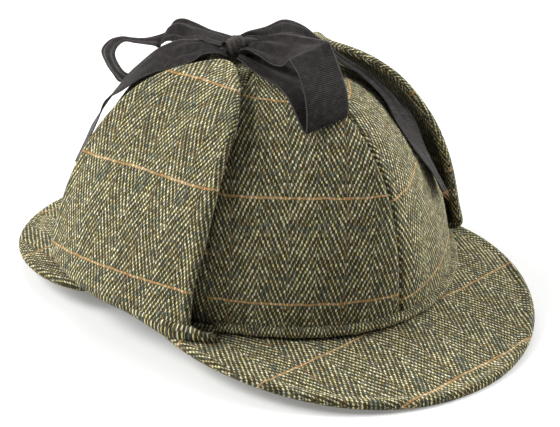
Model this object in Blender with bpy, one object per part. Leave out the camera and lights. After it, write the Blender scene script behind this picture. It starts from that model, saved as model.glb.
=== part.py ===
"""Deerstalker hat: a six-panel tweed crown, a front and a back peak, two ear flaps folded up
against the crown, and the ribbons that hold them, tied in a bow on the top.

The hat stands on the rims of its peaks on z = 0. Its front is -Y and the wearer's left is +X.
A place on the crown is given by a turn (degrees, 0 at the front, 90 at the wearer's left) and a
rise (0 at the crown's foot, 1 at its top). Lengths in the tables are millimetres.
"""
import math

import bmesh
import bpy
from mathutils import Vector

MM = 0.001
GAP = 0.3                    # clear space kept between neighbouring pieces
SHARP_ANGLE = 40.0           # degrees between faces from which an edge is shaded sharp

# crown: an egg-shaped oval foot and a six-panel dome
HEAD_HALF_LENGTH = 99.8
HEAD_HALF_WIDTH = 90.8
EGG = 0.13                   # how much narrower the front of the oval is
CROWN_HEIGHT = 98.3
FOOT_HEIGHT = 13.3           # crown's foot above the ground
FOOT_FORWARD = 7.9           # crown's centre behind the middle of the whole hat
DOME_POWER_ENDS = 2.868      # fullness of the dome's curve at front and back
DOME_POWER_SIDES = 2.381     # and at the sides
PANEL_DIP = 0.071            # how much flatter a panel is between its seams
PANEL_DIP_POWER = 1.4
SIDE_TAPER = 0.189           # how much the sides lean in towards the top
CLOTH = 2.5                  # crown wall
PANELS = 6
PANEL_COLUMNS = 6
PANEL_RISES = (0.0, 0.06, 0.14, 0.24, 0.34, 0.45, 0.56, 0.66, 0.75, 0.83, 0.9, 0.95, 0.98, 0.9965)
WIDEST_INSET = 0.45          # most that a panel's corner draws in at the top, in radians
SLOPE_STEP = 0.002           # step in rise over which the crown's slope is taken

# seam roll round the crown's foot
ROLL_DEPTH = 2.6
ROLL_HEIGHT = 4.8
ROLL_STEP = 5.0              # degrees
ROLL_ANGLES = (-90, -45, 0, 45, 90)
ROLL_LEAN_RISE = 0.02        # rise to which the roll follows the crown's slope

# peaks
PEAK_CLOTH = 4.0
PEAK_DROP = 11.9             # rim's middle line below the crown's foot
PEAK_LEVEL_RIM = 0.11        # outer share of the peak's width that lies level
PEAK_FALL_POWER = 1.3        # a peak steepens away from the crown
PEAK_COLUMNS = 30
PEAK_ROWS = (0.0, 0.35, 0.7, 0.9, 1.0)
PEAK_NOSE = (45, 90, 135)    # angles round the turned rim
PEAK_END = 0.985             # share of the half angle at which a peak's sewn end stops
#               name         centre  half angle  reach  width power  drop power
PEAKS = (("front_peak", 0.0, 76.0, 51.0, 0.90, 2.7),
         ("back_peak", 180.0, 79.0, 35.2, 0.60, 2.3))

# ear flaps
FLAP_CLOTH = 4.0
FLAP_FRONT_HIGH = 53.5       # turn of the front edge from half height up
FLAP_BACK = 119.0
FLAP_SHOULDER = 0.56         # rise at which the rounded top begins
FLAP_TOP = 0.85              # rise of the tip
FLAP_ROUNDNESS = 2.5
FLAP_TIP_FORWARD = 3.0       # degrees by which the tip lies in front of the flap's middle
FLAP_STAND_OFF = 5.0         # clear space between crown and flap
FLAP_FOLD_HEIGHT = 6.0       # height of the rolled fold at the foot
FLAP_COLUMNS = 12
FLAP_RISES = (0.05, 0.12, 0.2, 0.3, 0.4, 0.48, 0.56, 0.63, 0.7, 0.755, 0.795, 0.825, 0.842, 0.8485)
FLAP_FOLD_STEPS = 4
SPRING_LATE = 1.4            # moves the widest spring above half height
SPRING_POWER = 1.5
#          name             side  turn of its front edge at the foot and how far it springs out
FLAPS = (("ear_flap_right", -1, 57.5, 0.0),
         ("ear_flap_left", 1, 62.0, 3.0))

# ribbons
RIBBON = 0.8                 # thickness
RIBBON_STEPS = 3             # rows between two stations
RIBBON_ACROSS = 2
KNOT_CENTRE = (-13.5, 5.0, 104.0)
KNOT_RADII = (3.6, 3.6, 5.6)
KNOT_RINGS = 8
KNOT_SIDES = 10
KNOT_END = 75.0              # angle at which the knot's top and bottom are cut flat

# A station is a ribbon's middle point from the crown's centre at its foot, then the direction from
# its near edge to its far edge (aim round the vertical, lean above the horizontal) and its width.
#                x    y    z   aim lean width
BOW_LOOP_FRONT = ((-11.2, 1.6, 105.8, 31, 6, 6),
                  (-9.1, -1.9, 107.8, 38, 3, 9),
                  (-7.2, -8.4, 108.2, 38, 13, 18),
                  (-4.5, -16.1, 108.2, 34, 21, 22),
                  (-2.8, -25.5, 109.3, 23, 19, 23),
                  (-2.1, -36.1, 112.1, -1, 11, 23),
                  (-4, -45.9, 105.8, 0, 1, 23),
                  (-7.9, -56.1, 96.8, -4, 1, 23),
                  (-13.1, -62.2, 87.8, -5, 9, 23),
                  (-10.1, -49, 94.9, -6, 0, 23),
                  (-7.1, -35.9, 97.9, -1, 0, 23),
                  (-8.3, -19.8, 99.5, 7, 1, 20),
                  (-11, -6, 100.8, 15, -3, 12),
                  (-12.5, 1.2, 101.4, 20, -4, 8))
BOW_LOOP_BACK = ((-16.1, 9.9, 107.2, 20, 5, 6),
                 (-13, 20.8, 104.7, 20, 8, 8),
                 (-9.6, 35.9, 101.7, 22, 5, 11),
                 (-8.1, 51.1, 97.9, 24, 15, 17),
                 (-10.2, 58.7, 97.7, 30, 17, 19),
                 (-12.4, 62.7, 95.7, 38, 14, 20.5),
                 (-14.4, 64.4, 91.9, 46, 4, 21),
                 (-17.8, 66.3, 91.5, 54, -6, 22),
                 (-21.5, 70.6, 90.8, 57, -11, 22),
                 (-25.4, 74.6, 91, 60, -12, 22),
                 (-28.8, 78.4, 91.3, 63, -12, 22),
                 (-32.1, 82.1, 88.7, 70, -10, 22),
                 (-33.8, 84.7, 83.7, 78, -13, 22),
                 (-33.1, 82.9, 78.6, 78, -18, 22),
                 (-32.1, 78.4, 74.6, 78, -21, 22),
                 (-29.7, 72.8, 72.7, 81, -29, 22),
                 (-25.4, 66.8, 79.9, 62, -20, 22),
                 (-21.3, 60.4, 85.9, 46, -9, 20),
                 (-17.2, 47.5, 93.3, 33, -3, 16),
                 (-13.9, 30.2, 97.6, 24, 0, 10),
                 (-14.8, 8.7, 102, 20, 0, 6))
BOW_TAIL_RIGHT = ((-16.8, 6.8, 103.8, 60, 20, 6),
                  (-18, 13, 103, 50, 0, 9),
                  (-18.5, 20, 101.6, 40, 3, 14),
                  (-21.8, 28.3, 98.2, 50, 10, 20),
                  (-26, 37, 95, 45, 15, 23),
                  (-32, 44, 91, 50, 10, 23),
                  (-38, 50, 85, 55, 0, 23),
                  (-45, 54, 79, 55, -5, 23),
                  (-53, 57, 72, 55, -20, 23),
                  (-60, 57, 63, 65, -25, 23),
                  (-66, 56, 55, 65, -25, 23),
                  (-73, 55, 46, 65, -25, 23))
BOW_TAIL_LEFT = ((-10, 6.6, 107.2, 84, 1, 6),
                 (-3.1, 8, 107.4, 69, 5, 8),
                 (3.5, 3.6, 107.8, 56, 5, 16),
                 (10.9, -1.4, 110.4, 55, 6, 20),
                 (16.9, -7.8, 108.6, 53, 4, 18),
                 (18.9, -18.3, 105.7, 52, -2, 13),
                 (26.5, -26.2, 97.8, 49, -8, 13),
                 (33.6, -32, 91.8, 44, -10, 14),
                 (39.5, -43.2, 82.4, 35, -14, 19),
                 (41.6, -52.9, 72.5, 28, -16, 23),
                 (43.7, -61.5, 60.3, 35, -19, 23),
                 (48.3, -66.8, 48.9, 41, -21, 22),
                 (51.3, -71.2, 39.8, 43, -21, 20))
RIBBON_TIE_RIGHT = ((-35, -9.5, 91.6, 85, 5, 14),
                    (-29, -6, 95, 80, 5, 13),
                    (-23, -3, 97, 75, 0, 11),
                    (-17.5, 1.5, 98.3, 65, 0, 8))
RIBBON_TIE_LEFT = ((28, -4, 95.2, 90, 0, 20),
                   (18, -3, 98.2, 90, 0, 18),
                   (6, -1, 99.5, 90, 0, 14),
                   (-4, 2, 99.5, 90, 0, 10),
                   (-10.6, 4.3, 99.3, 85, 0, 8))
RIBBONS = {"bow_loop_front": BOW_LOOP_FRONT, "bow_loop_back": BOW_LOOP_BACK,
           "bow_tail_right": BOW_TAIL_RIGHT, "bow_tail_left": BOW_TAIL_LEFT,
           "ribbon_tie_right": RIBBON_TIE_RIGHT, "ribbon_tie_left": RIBBON_TIE_LEFT}

#               name        colour              roughness
MATERIALS = {"tweed": ((0.22, 0.20, 0.11, 1), 0.95),
             "ribbon": ((0.045, 0.04, 0.042, 1), 0.75)}


def material(name):
    """A material with the part's plain colour, made once."""
    if name in bpy.data.materials:
        return bpy.data.materials[name]
    made = bpy.data.materials.new(name)
    made.use_nodes = True
    shader = made.node_tree.nodes["Principled BSDF"]
    colour, roughness = MATERIALS[name]
    shader.inputs["Base Color"].default_value = colour
    shader.inputs["Roughness"].default_value = roughness
    shader.inputs["Metallic"].default_value = 0.0
    return made


def add_piece(name, points, faces, slot):
    """A named object from points in crown millimetres, its faces turned outwards."""
    corners = [(x * MM, (y + FOOT_FORWARD) * MM, (z + FOOT_HEIGHT) * MM) for x, y, z in points]
    mesh = bpy.data.meshes.new(name)
    mesh.from_pydata(corners, [], faces)
    shape = bmesh.new()
    shape.from_mesh(mesh)
    bmesh.ops.recalc_face_normals(shape, faces=shape.faces)
    bmesh.ops.triangulate(shape, faces=shape.faces)
    shape.to_mesh(mesh)
    shape.free()
    mesh.shade_smooth()
    mesh.set_sharp_from_angle(angle=math.radians(SHARP_ANGLE))
    mesh.materials.append(material(slot))
    piece = bpy.data.objects.new(name, mesh)
    bpy.context.collection.objects.link(piece)
    return piece


def loft(name, sections, slot):
    """A solid through closed sections that have the same number of points, with flat ends."""
    count = len(sections[0])
    points = [point for section in sections for point in section]
    faces = []
    for first in range(0, len(points) - count, count):
        for i in range(count):
            j = (i + 1) % count
            faces.append((first + i, first + j, first + count + j, first + count + i))
    faces.append(tuple(range(count)))
    faces.append(tuple(len(points) - 1 - i for i in range(count)))
    return add_piece(name, points, faces, slot)


def slab(name, outer, inner, slot):
    """A cloth wall between two grids of points of the same size."""
    rows, columns = len(outer), len(outer[0])
    points = [point for grid in (outer, inner) for row in grid for point in row]
    half = rows * columns
    faces = []
    for r in range(rows - 1):
        for c in range(columns - 1):
            a = r * columns + c
            quad = (a, a + 1, a + columns + 1, a + columns)
            faces.append(quad)
            faces.append(tuple(half + i for i in reversed(quad)))
    rim = list(range(columns))
    rim += [r * columns + columns - 1 for r in range(1, rows)]
    rim += [(rows - 1) * columns + c for c in range(columns - 2, -1, -1)]
    rim += [r * columns for r in range(rows - 2, 0, -1)]
    for a, b in zip(rim, rim[1:] + rim[:1]):
        faces.append((b, a, half + a, half + b))
    return add_piece(name, points, faces, slot)


def foot(turn, outward=0.0):
    """The crown's foot at a turn, moved outwards square to the oval."""
    t = math.radians(turn)
    x = HEAD_HALF_WIDTH * math.sin(t) * (1 - EGG * math.cos(t))
    y = -HEAD_HALF_LENGTH * math.cos(t)
    along_x = HEAD_HALF_WIDTH * (math.cos(t) - EGG * math.cos(2 * t))
    along_y = HEAD_HALF_LENGTH * math.sin(t)
    length = math.hypot(along_x, along_y)
    return Vector((x + along_y / length * outward, y - along_x / length * outward, 0.0))


def dome(turn, rise):
    """A point on the crown's outside."""
    t = math.radians(turn)
    end = math.cos(t) ** 2
    power = 2 / (DOME_POWER_SIDES + (DOME_POWER_ENDS - DOME_POWER_SIDES) * end)
    height = math.sin(rise * math.pi / 2) ** power
    radius = math.cos(rise * math.pi / 2) ** power
    dip = PANEL_DIP * abs(math.sin(t * PANELS / 2)) ** PANEL_DIP_POWER * math.sin(math.pi * rise)
    radius *= 1 - dip - SIDE_TAPER * height * math.sin(t) ** 2
    at_foot = foot(turn)
    return Vector((at_foot.x * radius, at_foot.y * radius, CROWN_HEIGHT * height))


def above_crown(turn, rise, stand_off):
    """A point at a distance from the crown's outside, square to it."""
    low, high = max(rise - SLOPE_STEP, 0.0), min(rise + SLOPE_STEP, 1 - SLOPE_STEP / 2)
    across = dome(turn + SLOPE_STEP * 90, rise) - dome(turn - SLOPE_STEP * 90, rise)
    upward = dome(turn, high) - dome(turn, low)
    return dome(turn, rise) + across.cross(upward).normalized() * stand_off


def crown_panel(name, first_turn, last_turn):
    """One of the crown's panels, kept half a gap from its seams."""
    outer, inner = [], []
    for rise in PANEL_RISES:
        rows = []
        for stand_off in (0.0, -CLOTH):
            row = []
            for column in range(PANEL_COLUMNS + 1):
                share = column / PANEL_COLUMNS
                radius = dome(first_turn, rise).to_2d().length
                inset = math.degrees(math.asin(min(GAP / 2 / radius, WIDEST_INSET)))
                turn = first_turn + inset + (last_turn - first_turn - 2 * inset) * share
                row.append(above_crown(turn, rise, stand_off))
            rows.append(row)
        outer.append(rows[0])
        inner.append(rows[1])
    for point in outer[0] + inner[0]:
        point.z = GAP / 2
    slab(name, outer, inner, "tweed")


def crown_roll(name, first_turn, last_turn):
    """A run of the seam roll: a half-round bead against the crown's foot."""
    count = round((last_turn - first_turn) / ROLL_STEP)
    sections = []
    for i in range(count + 1):
        turn = first_turn + (last_turn - first_turn) * i / count
        section = []
        for angle in ROLL_ANGLES:
            outward = GAP + ROLL_DEPTH * math.cos(math.radians(angle))
            height = ROLL_HEIGHT / 2 * (1 + math.sin(math.radians(angle))) + GAP / 2
            lean = dome(turn, ROLL_LEAN_RISE) - foot(turn)
            point = foot(turn, outward) + lean * (height / lean.z)
            point.z = height
            section.append(point)
        sections.append(section)
    loft(name, sections, "tweed")


def peak(name, centre, half_angle, reach, width_power, drop_power):
    """A peak: top cloth, a turned rounded rim and under cloth, flat where it meets the ground."""
    half = PEAK_CLOTH / 2
    sections = []
    for column in range(PEAK_COLUMNS + 1):
        share = PEAK_END * (2 * column / PEAK_COLUMNS - 1)
        turn = centre + half_angle * share
        level = math.cos(share * math.pi / 2)
        width = reach * level ** width_power - half
        drop = (PEAK_DROP - half) * level ** drop_power
        middle = []
        for along in PEAK_ROWS:
            outward = -CLOTH + (width + CLOTH) * along
            fall = min(max(outward / (width * (1 - PEAK_LEVEL_RIM)), 0.0), 1.0)
            middle.append((outward, -drop * fall ** PEAK_FALL_POWER - half))
        top = [(outward, height + half) for outward, height in middle]
        under = [(outward, height - half) for outward, height in reversed(middle)]
        nose_out, nose_height = middle[-1]
        nose = []
        for angle in PEAK_NOSE:
            a = math.radians(angle)
            nose.append((nose_out + half * math.sin(a), nose_height + half * math.cos(a)))
        section = []
        for outward, height in top + nose + under:
            point = foot(turn, outward)
            point.z = max(height - GAP / 2, -FOOT_HEIGHT)
            section.append(point)
        sections.append(section)
    loft(name, sections, "tweed")


def flap_span(rise, front_foot):
    """The turns of a flap's front and back edge at a rise."""
    swing = min(rise / FLAP_SHOULDER, 1.0)
    front = front_foot + (FLAP_FRONT_HIGH - front_foot) * math.sin(swing * math.pi / 2)
    rounding = max(rise - FLAP_SHOULDER, 0.0) / (FLAP_TOP - FLAP_SHOULDER)
    share = (1 - rounding ** FLAP_ROUNDNESS) ** (1 / FLAP_ROUNDNESS)
    middle = (front + FLAP_BACK) / 2 - FLAP_TIP_FORWARD * rounding ** 2
    half = (FLAP_BACK - front) / 2 * share
    return middle - half, middle + half


def ear_flap(name, side, front_foot, spring):
    """A folded-up ear flap: a rolled fold from the crown's foot, then a wall beside the crown."""
    outer, inner = [], []
    for step in range(FLAP_FOLD_STEPS):
        bend = math.radians(90 * (1 - step / FLAP_FOLD_STEPS))
        front, back = flap_span(0.0, front_foot)
        rows = []
        for reach, depth in ((FLAP_STAND_OFF + FLAP_CLOTH, FLAP_FOLD_HEIGHT - GAP),
                             (FLAP_STAND_OFF, FLAP_FOLD_HEIGHT - GAP - FLAP_CLOTH)):
            row = []
            for column in range(FLAP_COLUMNS + 1):
                turn = side * (front + (back - front) * column / FLAP_COLUMNS)
                point = foot(turn, GAP + (reach - GAP) * math.cos(bend))
                point.z = FLAP_FOLD_HEIGHT - depth * math.sin(bend)
                row.append(point)
            rows.append(row)
        outer.append(rows[0])
        inner.append(rows[1])
    for rise in FLAP_RISES:
        front, back = flap_span(rise, front_foot)
        rows = []
        for stand_off in (FLAP_STAND_OFF + FLAP_CLOTH, FLAP_STAND_OFF):
            row = []
            for column in range(FLAP_COLUMNS + 1):
                share = column / FLAP_COLUMNS
                turn = side * (front + (back - front) * share)
                height_share = math.sin(math.pi * rise ** SPRING_LATE)
                open_up = spring * (height_share * (1 - share)) ** SPRING_POWER
                row.append(above_crown(turn, rise, stand_off + open_up))
            rows.append(row)
        outer.append(rows[0])
        inner.append(rows[1])
    slab(name, outer, inner, "tweed")


def smooth(a, b, c, d, share):
    """Catmull-Rom blend from b to c."""
    return 0.5 * (2 * b + (c - a) * share + (2 * a - 5 * b + 4 * c - d) * share ** 2
                  + (3 * b - a - 3 * c + d) * share ** 3)


def ribbon_edges(stations):
    """The two edges of a ribbon, smoothed through its stations."""
    edges = []
    for x, y, z, aim, lean, width in stations:
        a, e = math.radians(aim), math.radians(lean)
        middle = Vector((x, y, z))
        across = Vector((math.cos(a) * math.cos(e), math.sin(a) * math.cos(e), math.sin(e)))
        edges.append((middle - across * width / 2, middle + across * width / 2))
    rows = []
    last = len(edges) - 1
    for i in range(last):
        four = [edges[min(max(i + k, 0), last)] for k in (-1, 0, 1, 2)]
        for step in range(RIBBON_STEPS):
            share = step / RIBBON_STEPS
            rows.append(tuple(smooth(*(pair[side] for pair in four), share) for side in (0, 1)))
    rows.append(edges[-1])
    return rows


def ribbon(name, stations):
    """A ribbon as a thin wall round its middle surface."""
    rows = ribbon_edges(stations)
    upper, lower = [], []
    for i, (near, far) in enumerate(rows):
        before, after = rows[max(i - 1, 0)], rows[min(i + 1, len(rows) - 1)]
        along = (after[0] + after[1]) - (before[0] + before[1])
        normal = along.cross(far - near).normalized() * RIBBON / 2
        middle = [near.lerp(far, c / RIBBON_ACROSS) for c in range(RIBBON_ACROSS + 1)]
        upper.append([point + normal for point in middle])
        lower.append([point - normal for point in middle])
    slab(name, upper, lower, "ribbon")


def bow_knot():
    """The knot, a small wrapped bead of ribbon."""
    centre_x, centre_y, centre_z = KNOT_CENTRE
    radius_x, radius_y, radius_z = KNOT_RADII
    sections = []
    for ring in range(KNOT_RINGS):
        rise = math.radians(KNOT_END * (2 * ring / (KNOT_RINGS - 1) - 1))
        section = []
        for side in range(KNOT_SIDES):
            turn = 2 * math.pi * side / KNOT_SIDES
            x = centre_x + radius_x * math.cos(rise) * math.cos(turn)
            y = centre_y + radius_y * math.cos(rise) * math.sin(turn)
            section.append(Vector((x, y, centre_z + radius_z * math.sin(rise))))
        sections.append(section)
    loft("bow_knot", sections, "ribbon")


def main():
    for old in list(bpy.data.objects):
        bpy.data.objects.remove(old, do_unlink=True)
    step = 360 / PANELS
    for i in range(PANELS):
        crown_panel(f"crown_panel_{i + 1}", i * step, (i + 1) * step)
    edge = math.degrees(GAP / HEAD_HALF_LENGTH)
    front_ends = [side * (front_foot - edge) for _, side, front_foot, _ in FLAPS]
    crown_roll("crown_roll_front", min(front_ends), max(front_ends))
    crown_roll("crown_roll_back", FLAP_BACK + edge, 360 - FLAP_BACK - edge)
    for row in PEAKS:
        peak(*row)
    for row in FLAPS:
        ear_flap(*row)
    for name, stations in RIBBONS.items():
        ribbon(name, stations)
    bow_knot()


main()
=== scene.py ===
"""Deerstalker hat in herringbone tweed, its ear flaps tied up over the crown with a ribbon bow.

Cloth is worked out in millimetres from the crown's centre at its foot. A place on the crown has
a turn (degrees, 0 at the front, 90 at the wearer's left) and a rise (0 at the foot, 1 at the
top). Every cloth piece carries a "cloth" map: millimetres across and along its own flat cloth.
"""
import math
from collections import namedtuple

import bmesh
import bpy
import numpy as np
from mathutils import Matrix, Vector


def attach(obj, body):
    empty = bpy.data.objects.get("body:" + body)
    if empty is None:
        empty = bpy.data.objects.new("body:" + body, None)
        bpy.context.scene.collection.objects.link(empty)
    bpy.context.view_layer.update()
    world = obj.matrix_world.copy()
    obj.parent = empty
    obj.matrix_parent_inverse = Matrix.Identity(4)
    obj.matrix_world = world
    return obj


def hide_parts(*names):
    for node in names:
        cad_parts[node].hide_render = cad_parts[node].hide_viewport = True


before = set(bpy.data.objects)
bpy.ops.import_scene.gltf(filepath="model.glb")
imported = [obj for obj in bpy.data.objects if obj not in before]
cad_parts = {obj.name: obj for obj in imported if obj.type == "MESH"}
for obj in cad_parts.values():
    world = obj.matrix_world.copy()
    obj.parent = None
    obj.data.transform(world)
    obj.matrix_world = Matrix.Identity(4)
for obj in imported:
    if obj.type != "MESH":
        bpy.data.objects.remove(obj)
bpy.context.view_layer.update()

MM = 0.001
GAP = 0.3                    # what neighbouring pieces keep from each other
SIDES = (np.s_[:, 0], np.s_[:, -1])    # a grid's first and last column

# the crown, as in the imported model
HEAD_HALF_LENGTH = 99.8
HEAD_HALF_WIDTH = 90.8
EGG = 0.13
CROWN_HEIGHT = 98.3
FOOT_HEIGHT = 13.3
FOOT_FORWARD = 7.9
DOME_POWER_ENDS = 2.868
DOME_POWER_SIDES = 2.381
PANEL_DIP = 0.071
PANEL_DIP_POWER = 1.4
SIDE_TAPER = 0.189
CLOTH = 2.5
PANELS = 6
SLOPE_STEP = 0.002

# ripples of handled cloth: size, seed, height, and how much of the upright way counts, where
# less than 1 draws them out upright
RIPPLE_WAVES = 9
CROWN_RIPPLES = ((55, 3, .45, 1), (21, 8, .16, .6))
PEAK_RIPPLES = ((60, 5, .35, 1),)
FLAP_RIPPLES = ((48, 11, .5, 1), (20, 12, .12, 1))

# crown cloth
PANEL_SHARES = np.concatenate([[0, .004, .009, .015, .022, .031, .043], np.linspace(.06, .94, 43),
                               [.957, .969, .978, .985, .991, .996, 1]])
PANEL_ROWS = 76
ROWS_TO_TOP = 1.3            # how much the rows crowd towards the top
ROWS_APART = 2e-4            # and what keeps the last ones apart
TOP_RISE = .9996             # where a panel ends, just short of the top
SEAM_DEPTH = 0.9
SEAM_WIDTH = 0.75
SEAM_PUFF = 0.35
SEAM_PUFF_AT = 2.8
SEAM_PUFF_WIDTH = 1.9
SEAM_FADE = 12               # panel width below which its seams fade out
SEAM_STIFF = 9               # ripples die out at this distance from a seam
FOOT_STIFF = 12              # and at this height above the foot
ALLOWANCE = 0.7              # thickness of the seam allowances inside
ALLOWANCE_WIDTH = 7.0
ALLOWANCE_EDGE = 0.5         # softness of their edge

# seam roll
ROLL_DEPTH = 2.9
ROLL_HEIGHT = 4.8
ROLL_OFF = 0.3               # what it keeps from the crown, in gaps
ROLL_STEP = 1.1              # degrees from one ring to the next
ROLL_WRAP = 100              # degrees that a ring goes round, each way
ROLL_COLUMNS = 19
ROLL_SWELLS = ((.05, 37, 0), (.04, 83, 1))    # height, waves and start of its unevenness
ROLL_END = 0.1               # size at its very ends
ROLL_LEAN_RISE = 0.02        # it leans as the crown does up to this rise
DEGREE = 1.7                 # millimetres of foot to a degree
ROLL_WEAVE = 1.3             # how much closer the roll's threads lie along it
ROLL_ROWS = 6.0              # its strip is cut clear of the overcheck

# turned edges of two-layer cloth: how far from the edge its rows lie, the swell over the
# turned-in allowance and the dip behind it
RIM_STEPS = np.array([0, .1, .3, .6, 1, 1.45, 2, 2.7, 3.5, 4.5, 5.6, 6.8, 8.2])
RIM_ROW = len(RIM_STEPS) - 1
RIM_SWELL = 0.35
RIM_SWELL_AT = 2.6
RIM_SWELL_WIDTH = 1.7
RIM_DIP = 0.3
RIM_DIP_AT = 6.6
RIM_DIP_WIDTH = 1.5

# peaks
PEAK_CLOTH = 4.0
PEAK_DROP = 11.9
PEAK_LEVEL_RIM = 0.11
PEAK_FALL_POWER = 1.3
PEAK_END = 0.985
PEAK_COLUMNS = 150
PEAK_EVEN = 0.45             # share of even spacing, the rest crowds towards the ends
PEAK_ROWS = 22               # rows behind the rim
PEAK_RIM_SPAN = 16           # width below which the rim's rows draw together
PEAK_RIM_STIFF = 10          # ripples die out at this distance from the rim
PEAK_FOOT_STIFF = 8          # and from the crown
PEAK_DRAPE = 0.45            # share of the fall that the weave follows
Peak = namedtuple("Peak", "centre half_angle reach width_power drop_power")
PEAKS = {"front": Peak(0.0, 76.0, 51.0, 0.90, 2.7),
         "back": Peak(180.0, 79.0, 35.2, 0.60, 2.3)}

# ear flaps, placed by turn and q: from q = -1 to 0 a flap rolls out of the crown's foot, and
# above 0 it stands beside the crown
FLAP_CLOTH = 4.0
FLAP_FRONT_HIGH = 53.5
FLAP_BACK = 119.0
FLAP_CENTRE = (FLAP_FRONT_HIGH + FLAP_BACK) / 2
FLAP_SHOULDER = 0.56
FLAP_ROUNDNESS = 2.5
FLAP_TIP_FORWARD = 3.0
FLAP_STAND_OFF = 5.0
FLAP_FOLD_HEIGHT = 6.0
FLAP_WALL_RISE = 0.023       # rise at which the rolled fold has become the wall
FLAP_EVEN_RISE = 0.86        # rise at which q and the rise are the same
FLAP_RISE_SHARE = 1 - FLAP_WALL_RISE / FLAP_EVEN_RISE
FLAP_WALL_BLEND = 0.05       # q up to which the wall takes over from the fold
FLAP_BACK_DRAW_IN = 2.2
SPRING_LATE = 1.4
SPRING_POWER = 1.5
# side, turn of the front edge at the foot, how far it springs out, how far it stands back above
# the rolled corner (degrees), how far that corner bulges, how far the front edge draws in as it
# rolls under (degrees), and the rise of the tip
Flap = namedtuple("Flap", "side front_foot spring back_set bulge draw_in tip")
FLAPS = {"right": Flap(-1, 57.5, 0.0, 2.9, 6.5, 1.0, 0.85),
         "left": Flap(1, 62.0, 3.0, 0.0, 0.0, 3.2, 0.795)}
TIP_HUG = 1.2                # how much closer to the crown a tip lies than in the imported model
BACK_SET_POWER = 4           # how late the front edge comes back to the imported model's
EDGE_HOLLOW = 1.7            # how many times as far it would stand back at the foot
EDGE_HOLLOW_POWER = 3
CORNER_REACH = 2.5           # how far the rolled corner comes forward again, in back_sets
CORNER_TOP = 0.10            # q at which it begins to come forward
CORNER_DEPTH = 0.42          # and how much lower it has come all the way
BULGE_AT = 6                 # degrees behind the front edge's foot
BULGE_WIDTH = 11
BULGE_SPAN = 1.14            # span of q over which the corner bulges
FLAP_STOPS = (-1, 0, .06)    # q at which the spacing of the rows changes
FLAP_ROWS = (14, 6, 34)      # rows from each stop to the next, the last to the shoulder
FLAP_TIP_COLUMNS = 40
FLAP_RINGS = 16              # rings inside the rim
FLAP_RIM_STIFF = 8           # ripples die out at this distance from the edge
SPINE_KNEE = 0.45            # q above which the middle line falls behind the outline
SPINE_TOP = 0.70             # q at which it ends
FLAP_STEPS = (.2, .004)      # steps of turn and q for the surface's normal
FLAP_TURNS = np.linspace(50, 121, 143)    # turns at which the cloth is measured across
FLAP_LEVELS = 400            # levels at which it is measured up the centre line
FLAP_LEVEL_STEP = 8          # one level in so many is measured across

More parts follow.
